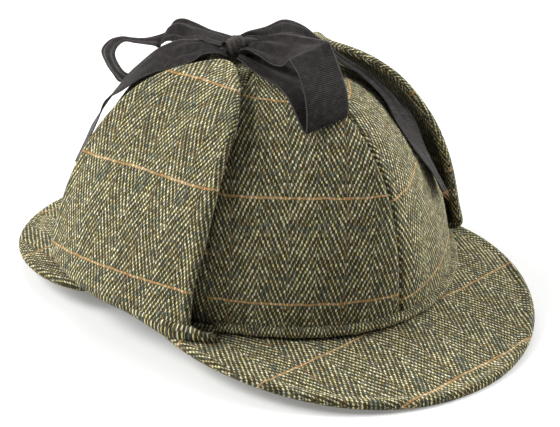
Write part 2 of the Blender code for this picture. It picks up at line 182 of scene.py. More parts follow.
# ribbons: stations of x, y, z, aim, lean and width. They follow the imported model, but for the
# crease in the front loop and the wider ends at the knot.
RIBBON_WIDTH = 23.0
RIBBONS = {
    "bow_loop_front": (
        (-11.2, 1.6, 105.4, 31, 6, 8), (-9.1, -1.9, 106.9, 38, 3, 12),
        (-7.2, -8.4, 108.2, 38, 13, 18), (-4.5, -16.1, 108.2, 34, 21, 22),
        (-2.8, -25.5, 109.3, 23, 19, 23), (-1.9, -34.0, 111.9, 3, 12, 23),
        (-2.1, -36.3, 112.4, -1, 11, 23), (-2.5, -38.6, 111.2, -1, 9, 23),
        (-4, -45.9, 105.8, 0, 1, 23), (-7.9, -56.1, 96.8, -4, 1, 23),
        (-13.1, -62.2, 87.8, -5, 9, 23), (-10.1, -49, 94.9, -6, 0, 23),
        (-7.1, -35.9, 97.9, -1, 0, 23), (-8.3, -19.8, 99.5, 7, 1, 20),
        (-11, -6, 101.2, 15, -3, 13), (-12.5, 1.2, 101.8, 20, -4, 9)),
    "bow_loop_back": (
        (-15.2, 8.2, 107.4, 20, 5, 11), (-13, 20.8, 104.7, 20, 8, 11),
        (-9.6, 35.9, 101.7, 22, 5, 12), (-8.1, 51.1, 97.9, 24, 15, 17),
        (-10.2, 58.7, 97.7, 30, 17, 19), (-12.4, 62.7, 95.7, 38, 14, 20.5),
        (-14.4, 64.4, 91.9, 46, 4, 21), (-17.8, 66.3, 91.5, 54, -6, 22),
        (-21.5, 70.6, 90.8, 57, -11, 22), (-25.4, 74.6, 91, 60, -12, 22),
        (-28.8, 78.4, 91.3, 63, -12, 22), (-32.1, 82.1, 88.7, 70, -10, 22),
        (-33.8, 84.7, 83.7, 78, -13, 22), (-33.1, 82.9, 78.6, 78, -18, 22),
        (-32.1, 78.4, 74.6, 78, -21, 22), (-29.7, 72.8, 72.7, 81, -29, 22),
        (-25.4, 66.8, 79.9, 62, -20, 22), (-21.3, 60.4, 85.9, 46, -9, 20),
        (-17.2, 47.5, 93.3, 33, -3, 16), (-13.9, 30.2, 97.6, 24, 0, 12),
        (-14.8, 8.7, 102, 20, 0, 9)),
    "bow_tail_right": (
        (-16.8, 6.8, 103.8, 60, 20, 10), (-18, 13, 103, 50, 0, 13), (-18.5, 20, 101.6, 40, 3, 16),
        (-21.8, 28.3, 98.2, 50, 10, 20), (-26, 37, 95, 45, 15, 23), (-32, 44, 91, 50, 10, 23),
        (-38, 50, 85, 55, 0, 23), (-45, 54, 79, 55, -5, 23), (-53, 57, 72, 55, -20, 23),
        (-60, 57, 63, 65, -25, 23), (-66, 56, 55, 65, -25, 23), (-73, 55, 46, 65, -25, 23)),
    "bow_tail_left": (
        (-10, 6.6, 107.2, 84, 1, 6), (-3.1, 8, 107.4, 69, 5, 8), (3.5, 3.6, 107.8, 56, 5, 16),
        (10.9, -1.4, 110.4, 55, 6, 20), (16.9, -7.8, 108.6, 53, 4, 18),
        (18.9, -18.3, 105.7, 52, -2, 13), (26.5, -26.2, 97.8, 49, -8, 13),
        (33.6, -32, 91.8, 44, -10, 14), (39.5, -43.2, 82.4, 35, -14, 19),
        (41.6, -52.9, 72.5, 28, -16, 23), (43.7, -61.5, 60.3, 35, -19, 23),
        (48.3, -66.8, 48.9, 41, -21, 22), (51.3, -71.2, 39.8, 43, -21, 20)),
    "ribbon_tie_right": (
        (-35, -9.5, 91.6, 85, 5, 14), (-29, -6, 95, 80, 5, 13), (-23, -3, 97, 75, 0, 11),
        (-17.5, 1.5, 98.3, 65, 0, 8)),
    "ribbon_tie_left": (
        (28, -4, 95.2, 90, 0, 20), (18, -3, 98.2, 90, 0, 18), (6, -1, 99.5, 90, 0, 14),
        (-4, 2, 99.5, 90, 0, 10), (-10.6, 4.3, 99.3, 85, 0, 8))}
RIBBON_ROWS = 12             # rows between two stations
RIBBON_COLUMNS = 24
RIBBON_HALF = 0.3            # half the ribbon's thickness
EDGE_THINNER = 0.45          # how much thinner it is at its very edge
EDGE_TAPER = 0.5             # distance from the edge over which it gets so
PLEATS = 2                   # lengthwise folds where a ribbon is drawn together
PLEAT_FILL = 0.8             # share of the slack that they take up
PLEAT_LIMIT = 1.1
PLEAT_EDGE_POWER = 0.4       # how fast they die out at the edges
CURL_SIZE = 38
CURL = 0.35
FRAYED = "bow_tail_left"     # the tail whose cut end is fraying
FRAY_THREADS = 14
FRAY_LENGTH = 5.5
FRAY_SHORTEST = 2.0
FRAY_RADIUS = 0.16
FRAY_ROOT = 0.8              # how far a loose thread starts inside the ribbon
FRAY_SPREAD = 0.35
FRAY_BEND = (.45, .45, .225)
FRAY_BEND_SHARE = 0.4        # share of its length by which a thread bends
FRAY_TAPER = 0.97
FRAY_ROWS = 9
FRAY_COLUMNS = 6
KNOT_CENTRE = (-12.6, 4.5, 104.6)
KNOT_AXIS = (.80, -.60, .36)
KNOT_ACROSS = (.6, .8, 0)    # level, square to the bow
KNOT_HIGH = 6.2
KNOT_DEEP = 4.2
KNOT_HALF = 4.3              # half its length along the bow
KNOT_CORE = 6.0              # how far the drawn-in ribbon reaches into the loops
KNOT_CORE_RADIUS = 2.5
KNOT_CORE_TIP = 0.2
KNOT_SHARE = 0.62            # share of the rings on the knot itself
KNOT_BELLY = 0.93
KNOT_BELLY_POWER = 0.55
KNOT_CREASE = 0.24           # height of the creases between its turns
KNOT_CREASES = 8.5
KNOT_CREASE_SWAY = 0.7
KNOT_LUMPS = 0.15
KNOT_SWAY = 0.25
KNOT_CLOTH = (4.4, 2.2, 3.6)    # ribbon to a radian round, its slant, and along the knot
KNOT_COLUMNS = 40
KNOT_ROWS = 34

# weave, in millimetres
THREAD = 0.705               # warp spacing
PICK = 1.5                   # weft spacing
TWILL = 3                    # threads in the twill's repeat
COLUMN = 12.9                # herringbone column
CHECK_PICKS = 32             # picks between two orange lines of the overcheck
CHECK_COLUMNS = 4            # columns between two rust lines
WARP_WANDER = ((.16, .9), (.8, .62))     # how threads stray: scale of the noise, and reach
WEFT_WANDER = ((.13, 1.3), (.7, .70))
DASH_HALF = 0.47             # half width of the narrowest pale dash, in threads
DASH_VARIES = 0.26
DASH_SOFT = 0.42
DASH_LEAN = 0.15
RIB = 0.95                   # spacing of the ribbon's ribs
LOOSE_BEYOND = 2.0           # past the ribbon's edge its cloth map means a frayed thread

# how each cloth was cut: millimetres across and along, the lean of its columns, and the lean
# and bow of its rows; a flap's cloth lies upside down
CUT = {"crown_1": (9.0, -13.5, .05, .10, 0, True),
       "crown_2": (21.0, -31.0, -.04, -.02, 0, True),
       "crown_3": (-14.0, 7.0, .03, .03, 0, True),
       "crown_4": (5.0, -20.0, -.05, .02, 0, True),
       "crown_5": (-26.0, 12.0, .02, -.04, 0, True),
       "crown_6": (39.4, -14.8, .12, -.05, 0, True),
       "flap_right": (-7.3, -21.2, .05, .08, .0012, False),
       "flap_left": (11.0, 8.0, -.04, -.05, .001, False),
       "peak_front": (12.0, 99.2, -.06, .085, -.0006, True),
       "peak_back": (-9.0, -118.0, .05, .03, 0, True)}

# colours
PALE_THREADS = (.63, .58, .27), (.66, .63, .43)
GREY_THREAD = (.27, .28, .20)
TAN_THREAD = (.38, .31, .14)
DARK_THREADS = (.034, .025, .010), (.026, .031, .020)
BETWEEN_THREAD = (.105, .092, .055)
FIBRE = (.175, .155, .085)
ORANGE_LINES = (.42, .20, .060), (.52, .31, .14)
RUST_LINE = (.26, .050, .020)
RIBBON_RIBS = (.005, .0040, .0037), (.014, .0115, .0107)
# a lighter ribbon colour: its worn patches and selvedge, and painted light over most of the knot
RIBBON_WORN_AND_LIT = (.075, .066, .062)
LINT = (.16, .15, .135)
FRAYED_THREAD = (.30, .17, .09)
TWEED_SURFACE = {"Roughness": .92, "Specular IOR Level": .12, "Sheen Weight": .08,
                 "Sheen Roughness": .5, "Sheen Tint": (.9, .88, .72, 1)}
RIBBON_SURFACE = {"Roughness": .5, "Specular IOR Level": .07, "Sheen Weight": .12,
                  "Sheen Roughness": .25, "Sheen Tint": (.95, .90, .87, 1)}
FLOOR_SURFACE = {"Base Color": (.62, .62, .617, 1), "Roughness": .9, "Specular IOR Level": .1,
                 "Emission Color": (1, 1, 1, 1), "Emission Strength": .20}
TWEED_BUMP = (.00035, .8)    # distance in metres and strength
RIBBON_BUMP = (.00022, .9)

# floor, light and camera: metres, watts and degrees
FLOOR_HALF = 6.0
WORLD_STRENGTH = .15
LIGHT_DISTANCE = 2.6
LIGHT_SIZE = 1.56
LIGHT_AIM = .05              # height that they face
# azimuth, elevation and power, named as the picture shows their sides
LIGHTS = {"left_back": (-135, 36, 122), "right": (72, 31, 84), "right_back": (112, 35, 26),
          "back": (152, 55, 22)}
CAMERA_AZIMUTH = -37.2161
CAMERA_ELEVATION = 25.78
CAMERA_ROLL = -0.5738
CAMERA_DISTANCE = 0.9
CAMERA_RIGHT = 0.006161      # how far it stands to the right of the crown's foot
CAMERA_UP = 0.01497
FOCAL_PIXELS = 1825
PHOTO_WIDTH = 560
SENSOR = 36.0


# ---------------------------------------------------------------- surfaces

def share_of(value, reach):
    """How far a value is on its way from 0 to a reach, from 0 to 1."""
    return np.clip(value / reach, 0, 1)


def eased(share):
    """A share that starts and ends level."""
    return share * share * (3 - 2 * share)


def bell(value, centre, width):
    """A smooth hump of height 1 round a centre."""
    return np.exp(-((value - centre) / width) ** 2)


def quarter_round(share):
    """Height of a round edge at a share of its width."""
    return np.sqrt(np.clip(1 - (1 - share) ** 2, 0, 1))


def unit(v):
    return v / np.maximum(np.linalg.norm(v, axis=-1, keepdims=True), 1e-9)


def foot(turn, outward=0.0):
    """The crown's foot at a turn, moved outwards square to the oval."""
    t = np.radians(turn)
    x = HEAD_HALF_WIDTH * np.sin(t) * (1 - EGG * np.cos(t))
    y = -HEAD_HALF_LENGTH * np.cos(t)
    along_x = HEAD_HALF_WIDTH * (np.cos(t) - EGG * np.cos(2 * t))
    along_y = HEAD_HALF_LENGTH * np.sin(t)
    length = np.hypot(along_x, along_y)
    return np.stack(np.broadcast_arrays(x + along_y / length * outward,
                                        y - along_x / length * outward, 0.0 * x), -1)


def dome(turn, rise):
    """A point on the crown's outside."""
    t = np.radians(turn)
    end = np.cos(t) ** 2
    power = 2 / (DOME_POWER_SIDES + (DOME_POWER_ENDS - DOME_POWER_SIDES) * end)
    height = np.sin(rise * np.pi / 2) ** power
    radius = np.cos(rise * np.pi / 2) ** power
    dip = PANEL_DIP * np.abs(np.sin(t * PANELS / 2)) ** PANEL_DIP_POWER * np.sin(np.pi * rise)
    radius = radius * (1 - dip - SIDE_TAPER * height * np.sin(t) ** 2)
    at_foot = foot(turn)
    return np.stack([at_foot[..., 0] * radius, at_foot[..., 1] * radius,
                     CROWN_HEIGHT * height + 0 * radius], -1)


def dome_normal(turn, rise):
    """Outward normal of the crown, smoothed across the seams."""
    step = SLOPE_STEP
    low, high = np.maximum(rise - step, 0), np.minimum(rise + step, 1 - step / 2)
    middle = np.clip(rise, 0, 1 - step)
    across = dome(turn + step * 90, middle) - dome(turn - step * 90, middle)
    return unit(np.cross(across, dome(turn, high) - dome(turn, low)))


def above_crown(turn, rise, stand_off):
    """Points at a distance from the crown's outside."""
    return dome(turn, rise) + dome_normal(turn, rise) * np.asarray(stand_off)[..., None]


def ripple(points, size, seed):
    """Smooth unevenness of handled cloth, about -1 to 1, in waves about size mm long."""
    rng = np.random.default_rng(seed)
    total = np.zeros(points.shape[:-1])
    for _ in range(RIPPLE_WAVES):
        direction = unit(rng.normal(size=3))
        length = size * rng.uniform(.7, 1.7)
        total += np.sin(points @ direction * (2 * np.pi / length) + rng.uniform(0, 2 * np.pi))
    return total / math.sqrt(RIPPLE_WAVES)


def ripples(points, kinds):
    """Ripples of several sizes, one over the other."""
    return sum(ripple(points * (1, 1, upright), size, seed) * height
               for size, seed, height, upright in kinds)


def lengths(points, axis):
    """Distance along a grid's rows or columns, from 0 at the first."""
    step = np.linalg.norm(np.diff(points, axis=axis), axis=-1)
    total = np.cumsum(step, axis=axis)
    return np.concatenate([np.zeros_like(np.take(total, [0], axis)), total], axis)


def laid_out(grid, flat):
    """A grid's cloth map where the rim's rows are laid out from the row behind them by their
    real lengths, so that the weave keeps its size round a turned edge."""
    cloth = flat.copy()
    climb = lengths(grid[RIM_ROW::-1], 0)
    way = flat[:1] - flat[RIM_ROW:RIM_ROW + 1]
    way = way / np.maximum(np.linalg.norm(way, axis=-1, keepdims=True), 1e-6)
    cloth[RIM_ROW::-1] = flat[RIM_ROW] + way * climb[..., None]
    return cloth


def cut(name, across, along):
    """A piece's cloth map, moved and leant as the piece was cut."""
    right, up, column_lean, row_lean, row_bow, upright = CUT[name]
    cloth = np.stack([across - column_lean * along + right,
                      along - row_lean * across + row_bow * across ** 2 + up], -1)
    return cloth if upright else (0, PICK) - cloth


# ---------------------------------------------------------------- pieces

def build(name, grids, material, replaced, weld=0.02):
    """A piece from grids of points in crown millimetres with their cloth maps. A grid is
    (points, map, flip). Grids are welded where their rims meet, and holes that are left, such
    as a panel's at the top, are filled."""
    points, maps, faces = [], [], []
    start = 0
    for grid, cloth, flip in grids:
        rows, columns = grid.shape[:2]
        index = start + np.arange(rows * columns).reshape(rows, columns)
        quad = np.stack([index[:-1, :-1], index[:-1, 1:], index[1:, 1:], index[1:, :-1]], -1)
        quad = quad.reshape(-1, 4)
        faces.append(quad[:, ::-1] if flip else quad)
        points.append(grid.reshape(-1, 3))
        maps.append(cloth.reshape(-1, 2))
        start += rows * columns
    points, maps, faces = np.concatenate(points), np.concatenate(maps), np.concatenate(faces)
    placed = (points + (0, FOOT_FORWARD, FOOT_HEIGHT)) * MM
    mesh = bpy.data.meshes.new(name)
    mesh.from_pydata(placed.tolist(), [], faces.tolist())
    layer = mesh.uv_layers.new(name="cloth")
    layer.data.foreach_set("uv", maps[faces.ravel()].astype(np.float32).ravel())
    work = bmesh.new()
    work.from_mesh(mesh)
    bmesh.ops.remove_doubles(work, verts=work.verts, dist=weld * MM)
    bmesh.ops.dissolve_degenerate(work, edges=work.edges, dist=weld * MM / 4)
    open_edges = [edge for edge in work.edges if edge.is_boundary]
    bmesh.ops.holes_fill(work, edges=open_edges, sides=0)
    bmesh.ops.recalc_face_normals(work, faces=work.faces)
    work.to_mesh(mesh)
    work.free()
    mesh.shade_smooth()
    mesh.materials.append(material)
    piece = bpy.data.objects.new(name, mesh)
    bpy.context.collection.objects.link(piece)
    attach(piece, "root")
    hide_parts(*replaced)
    return piece


def strip(first, second, cloth_first, cloth_second):
    """A joining strip between two rims."""
    return np.stack([first, second]), np.stack([cloth_first, cloth_second]), False


def joined(first, second, cloth, rims):
    """Strips between two grids along the rims at some indices."""
    return [strip(first[rim], second[rim], cloth[rim], cloth[rim]) for rim in rims]


def end_caps(points, cloth, centres):
    """Strips that close a tube's first and last ring at their centres."""
    return [strip(points[row], np.broadcast_to(centre, points[row].shape), cloth[row], cloth[row])
            for row, centre in zip((0, -1), centres)]


def ring_centres(points):
    """Middles of a tube's first and last ring."""
    return points[0].mean(0), points[-1].mean(0)


def crown_panel(index, material):
    """A crown panel: outer cloth that dips into its seams, and the inside with its pressed
    seam allowances."""
    s = np.linspace(0, 1, PANEL_ROWS)[:, None]
    share = PANEL_SHARES[None, :]
    rise = 1 - (1 - s) ** ROWS_TO_TOP * (1 - ROWS_APART) - ROWS_APART * (1 - s)
    rise = np.clip(rise, 0, TOP_RISE) + 0 * share
    turn = index * 360 / PANELS + 360 / PANELS * share + 0 * s
    base = dome(turn, rise)
    across = lengths(base, 1)
    width = across[:, -1:]
    to_seam = np.minimum(across, width - across)
    fade = share_of(width, SEAM_FADE)
    groove = (-SEAM_DEPTH * bell(to_seam, 0, SEAM_WIDTH)
              + SEAM_PUFF * bell(to_seam, SEAM_PUFF_AT, SEAM_PUFF_WIDTH)) * fade
    fold = ripples(base, CROWN_RIPPLES)
    fold = fold * share_of(to_seam, SEAM_STIFF) * share_of(base[..., 2], FOOT_STIFF)
    outer = above_crown(turn, rise, groove + fold)
    pressed = ALLOWANCE / (1 + np.exp((to_seam - ALLOWANCE_WIDTH) / ALLOWANCE_EDGE)) * fade
    inner = above_crown(turn, rise, -CLOTH - pressed + fold)
    for grid in (outer, inner):
        grid[0, :, 2] = GAP / 2
    middle = np.argmin(np.abs(PANEL_SHARES - .5))
    u = across - across[:, middle:middle + 1]
    v = lengths(base, 0)[:, middle:middle + 1] + 0 * u
    cloth = cut(f"crown_{index + 1}", u, v)
    grids = [(outer, cloth, False), (inner, cloth, True),
             strip(outer[0], inner[0], cloth[0], cloth[0] - (0, CLOTH)),
             *joined(outer, inner, cloth, SIDES)]
    return build(f"crown_cloth_{index + 1}", grids, material,
                 [f"crown_panel_{index + 1}"])


def crown_roll(name, first, last, material, replaced):
    """The seam roll round the crown's foot: cloth on the bias over a cord."""
    angle = np.radians(np.linspace(-ROLL_WRAP, ROLL_WRAP, ROLL_COLUMNS))[None, :]
    along_foot = np.linspace(first, last, int((last - first) / ROLL_STEP))[:, None]
    turn = along_foot + 0 * angle
    swell = 1.0
    for size, waves, start in ROLL_SWELLS:
        swell = swell + size * np.sin(np.radians(along_foot) * waves + start)
    outward = GAP * ROLL_OFF + ROLL_DEPTH * np.cos(angle) * swell
    height = ROLL_HEIGHT / 2 * (1 + np.sin(angle) * swell) + GAP / 2
    to_end = np.minimum(along_foot - first, last - along_foot) * DEGREE
    close = quarter_round(share_of(to_end, ROLL_DEPTH)) * (1 - ROLL_END) + ROLL_END
    outward = outward * close
    height = ROLL_HEIGHT / 2 + (height - ROLL_HEIGHT / 2) * close
    lean = dome(turn, ROLL_LEAN_RISE + 0 * turn) - foot(turn)
    points = foot(turn, outward) + lean * (height / lean[..., 2])[..., None]
    points[..., 2] = height
    along = lengths(foot(along_foot), 0)
    round_it = lengths(points, 1)
    cloth = np.stack([along * ROLL_WEAVE + 0 * round_it, round_it + ROLL_ROWS + 0 * along], -1)
    grids = [(points, cloth, False),
             strip(points[:, 0], points[:, -1], cloth[:, 0], cloth[:, -1]),
             *end_caps(points, cloth, ring_centres(points))]
    return build(name, grids, material, replaced)


def rim_profile(d, half):
    """Half thickness of a two-layer cloth at a distance from its turned edge: a round edge, a
    slight swell over the turned-in allowance and a shallow dip behind it."""
    near = share_of(d, half)
    swell = RIM_SWELL * bell(d, RIM_SWELL_AT, RIM_SWELL_WIDTH) * near
    return half * quarter_round(near) + swell - RIM_DIP * bell(d, RIM_DIP_AT, RIM_DIP_WIDTH)


def peak(which, material):
    """A peak: top and under cloth round a stiff core, with a turned rim."""
    shape = PEAKS[which]
    half = PEAK_CLOTH / 2
    even = np.linspace(-1, 1, PEAK_COLUMNS)
    share = np.sin(even * np.pi / 2) * PEAK_END
    share = (1 - PEAK_EVEN) * share + PEAK_EVEN * even * PEAK_END
    turn = shape.centre + shape.half_angle * share
    level = np.cos(share * np.pi / 2)
    width = shape.reach * level ** shape.width_power
    drop = (PEAK_DROP - half) * level ** shape.drop_power
    span = width + CLOTH
    rim = RIM_STEPS[:, None] * np.minimum(span / PEAK_RIM_SPAN, 1)
    rest = np.linspace(0, 1, PEAK_ROWS)[1:, None]
    from_rim = np.concatenate([rim, rim[-1] + (span - rim[-1]) * rest])
    outward = width - from_rim
    fall = share_of(outward, (width - half) * (1 - PEAK_LEVEL_RIM))
    z = -drop * fall ** PEAK_FALL_POWER - half - GAP / 2
    middle = foot(turn + 0 * outward, outward)
    middle[..., 2] = z
    thick = rim_profile(from_rim, half)
    wave = (ripples(middle, PEAK_RIPPLES) * share_of(from_rim, PEAK_RIM_STIFF)
            * share_of(outward, PEAK_FOOT_STIFF))
    top, under = middle.copy(), middle.copy()
    top[..., 2] += thick + wave
    under[..., 2] -= thick - wave
    under[..., 2] = np.maximum(under[..., 2], -FOOT_HEIGHT)
    draped = middle[..., 1] + np.sign(middle[..., 1]) * (-z) * PEAK_DRAPE
    cloth = cut(f"peak_{which}", middle[..., 0], draped)
    grids = [(top, laid_out(top, cloth), False), (under, laid_out(under, cloth), True),
             *joined(top, under, cloth, (np.s_[-1], *SIDES))]
    return build(f"peak_cloth_{which}", grids, material, [f"{which}_peak"])


def flap_edges(rise, flap):
    """Turns of a flap's front and back edge at a rise."""
    swing = share_of(rise, FLAP_SHOULDER)
    front = flap.front_foot + (FLAP_FRONT_HIGH - flap.front_foot) * np.sin(swing * np.pi / 2)
    hollow = 1 + (EDGE_HOLLOW - 1) * (1 - swing) ** EDGE_HOLLOW_POWER
    front = front + flap.back_set * (1 - swing ** BACK_SET_POWER) * hollow
    rounding = share_of(rise - FLAP_SHOULDER, flap.tip - FLAP_SHOULDER)
    share = (1 - rounding ** FLAP_ROUNDNESS) ** (1 / FLAP_ROUNDNESS)
    middle = (front + FLAP_BACK) / 2 - FLAP_TIP_FORWARD * rounding ** 2
    half = (FLAP_BACK - front) / 2 * share
    return middle - half, middle + half


def flap_q(rise):
    """The q at which a flap's wall has a rise."""
    return (rise - FLAP_WALL_RISE) / FLAP_RISE_SHARE


def flap_middle(turn, q, flap):
    """A flap's middle surface."""
    around = flap.side * turn
    stand_off = FLAP_STAND_OFF + FLAP_CLOTH / 2
    swell = flap.bulge * bell(turn - flap.front_foot, BULGE_AT, BULGE_WIDTH)
    swell = swell * np.sin(np.pi * share_of(q + 1, BULGE_SPAN))
    bend = np.radians(90 * np.clip(-q, 0, 1))
    fold = foot(around, GAP + (stand_off - GAP + swell) * np.cos(bend))
    under = FLAP_FOLD_HEIGHT - GAP - FLAP_CLOTH / 2 + swell
    fold[..., 2] = FLAP_FOLD_HEIGHT - under * np.sin(bend)
    rise = np.clip(q, 0, 1) * FLAP_RISE_SHARE + FLAP_WALL_RISE
    front, back = flap_edges(np.minimum(rise, FLAP_SHOULDER), flap)
    share = share_of(turn - front, back - front)
    open_up = flap.spring * (np.sin(np.pi * rise ** SPRING_LATE) * (1 - share)) ** SPRING_POWER
    open_up = open_up - TIP_HUG * share_of(rise - FLAP_SHOULDER, flap.tip - FLAP_SHOULDER)
    wall = above_crown(around, rise, stand_off + open_up + swell)
    blend = eased(share_of(q, FLAP_WALL_BLEND))[..., None]
    foot_wall = foot(around, stand_off + swell)
    foot_wall[..., 2] = FLAP_FOLD_HEIGHT
    base = above_crown(around, FLAP_WALL_RISE + 0 * rise, stand_off + swell)
    wall = wall + (foot_wall - base) * (1 - blend)
    return np.where((q < 0)[..., None], fold, wall)


def flap_outline(flap):
    """Turn and q along a flap's outline, from the front of its foot over the tip to the back,
    and of the places on its middle line that they are drawn in to."""
    q_shoulder, q_tip = flap_q(FLAP_SHOULDER), flap_q(flap.tip)
    stops = (*FLAP_STOPS, q_shoulder)
    q_side = np.concatenate([np.linspace(low, high, rows)[:-1]
                             for low, high, rows in zip(stops, stops[1:], FLAP_ROWS)])
    angle = np.linspace(0, np.pi / 2, FLAP_TIP_COLUMNS)
    rounding = np.sin(angle) ** (2 / FLAP_ROUNDNESS)
    share = np.cos(angle) ** (2 / FLAP_ROUNDNESS)
    share[-1] = 0
    q_curve = q_shoulder + (q_tip - q_shoulder) * rounding
    rolled = np.clip(-q_side, 0, 1)
    forward = eased(share_of(CORNER_TOP - q_side, CORNER_DEPTH)) * flap.back_set * CORNER_REACH
    front_side = flap_edges(np.clip(q_side, 0, 1), flap)[0]
    front_side = front_side + flap.draw_in * rolled ** 2 - forward
    back_side = FLAP_BACK - FLAP_BACK_DRAW_IN * rolled ** 2
    middle_curve = FLAP_CENTRE - FLAP_TIP_FORWARD * rounding ** 2
    half_curve = (FLAP_BACK - FLAP_FRONT_HIGH) / 2 * share
    edge_turn = np.concatenate([front_side, middle_curve - half_curve,
                                (middle_curve + half_curve)[::-1][1:], back_side[::-1]])
    edge_q = np.concatenate([q_side, q_curve, q_curve[::-1][1:], q_side[::-1]])
    spine_q = (SPINE_KNEE
               + (edge_q - SPINE_KNEE) * (SPINE_TOP - SPINE_KNEE) / (q_tip - SPINE_KNEE))
    spine_q = np.where(edge_q < SPINE_KNEE, edge_q, spine_q)
    front, back = flap_edges(np.clip(spine_q, 0, 1), flap)
    return edge_turn, edge_q, (front + back) / 2, spine_q


def flap_cloth(which, turn, q):
    """A flap's cloth map, measured up its centre line and sideways from it."""
    flap = FLAPS[which]
    climbing = np.linspace(-1, flap_q(flap.tip), FLAP_LEVELS)
    climb = lengths(flap_middle(FLAP_CENTRE + 0 * climbing, climbing, flap), 0)
    v = np.interp(q, climbing, climb)
    levels = climbing[::FLAP_LEVEL_STEP]
    sideways = lengths(flap_middle(FLAP_TURNS + 0 * levels[:, None],
                                   levels[:, None] + 0 * FLAP_TURNS, flap), 1)
    sideways = np.array([row - np.interp(FLAP_CENTRE, FLAP_TURNS, row) for row in sideways])
    place = np.interp(q, levels, np.arange(len(levels)))
    lower = np.clip(place.astype(int), 0, len(levels) - 2)
    part = place - lower
    u = np.empty_like(turn)
    for row in np.unique(lower):
        here = lower == row
        below, above = (np.interp(turn[here], FLAP_TURNS, sideways[row + k]) for k in (0, 1))
        u[here] = below + (above - below) * part[here]
    return cut(f"flap_{which}", flap.side * u, v)


def ear_flap(which, material):
    """A folded-up ear flap: two cloths joined round a turned edge, drawn as rings that follow
    its outline in to its middle line."""
    flap = FLAPS[which]
    edge_turn, edge_q, spine_turn, spine_q = flap_outline(flap)
    reach = np.linalg.norm(flap_middle(edge_turn, edge_q, flap)
                           - flap_middle(spine_turn, spine_q, flap), axis=-1)
    rim = RIM_STEPS[:, None] / reach
    ring = np.concatenate([rim, rim[-1] + (1 - rim[-1]) * np.linspace(0, 1, FLAP_RINGS)[1:, None]])
    turn = edge_turn + (spine_turn - edge_turn) * ring
    q = edge_q + (spine_q - edge_q) * ring
    middle = flap_middle(turn, q, flap)
    step_turn, step_q = FLAP_STEPS
    normal = flap.side * unit(np.cross(
        flap_middle(turn + step_turn, q, flap) - flap_middle(turn - step_turn, q, flap),
        flap_middle(turn, q + step_q, flap) - flap_middle(turn, q - step_q, flap)))
    from_edge = ring * reach
    thick = rim_profile(from_edge, FLAP_CLOTH / 2)[..., None]
    wave = (ripples(middle, FLAP_RIPPLES) * share_of(from_edge, FLAP_RIM_STIFF))[..., None]
    outer = middle + normal * (thick + wave)
    inner = middle - normal * (thick - wave)
    cloth = flap_cloth(which, turn, q)
    grids = [(outer, laid_out(outer, cloth), False), (inner, laid_out(inner, cloth), True),
             *joined(outer, inner, cloth, SIDES)]
    return build(f"flap_cloth_{which}", grids, material, [f"ear_flap_{which}"])


def through(rows, steps):
    """Catmull-Rom points through rows of values."""
    padded = np.concatenate([rows[:1], rows, rows[-1:]])
    share = (np.arange(steps) / steps)[:, None]
    out = []
    for a, b, c, d in zip(padded, padded[1:], padded[2:], padded[3:]):
        out.append(.5 * (2 * b + (c - a) * share + (2 * a - 5 * b + 4 * c - d) * share ** 2
                         + (3 * b - a - 3 * c + d) * share ** 3))
    return np.concatenate([*out, rows[-1:]])


def frayed_threads(rim, away, seed):
    """Loose threads at a ribbon's cut end, as thin closed tubes."""
    rng = np.random.default_rng(seed)
    grids = []
    t = np.linspace(0, 1, FRAY_ROWS)
    a = np.linspace(0, 2 * np.pi, FRAY_COLUMNS)[:, None]
    radius = (FRAY_RADIUS * np.sqrt(1 - (2 * t - 1) ** 2 * FRAY_TAPER))[:, None, None]
    for start in rim[rng.integers(0, len(rim), FRAY_THREADS)]:
        length = rng.uniform(FRAY_SHORTEST, FRAY_LENGTH)
        way = unit(away + rng.normal(size=3) * FRAY_SPREAD)
        bend = rng.normal(size=3) * FRAY_BEND
        line = (start - away * FRAY_ROOT + way * (t * length)[:, None]
                + bend * (t ** 2 * length * FRAY_BEND_SHARE)[:, None])
        side = unit(np.cross(way, (0, 0, 1.0)))
        over = np.cross(way, side)
        points = line[:, None] + radius * (side * np.cos(a) + over * np.sin(a))
        cloth = np.broadcast_to((0.0, RIBBON_WIDTH), points.shape[:2] + (2,))
        grids += [(points, cloth, False), *end_caps(points, cloth, (line[0], line[-1]))]
    return grids


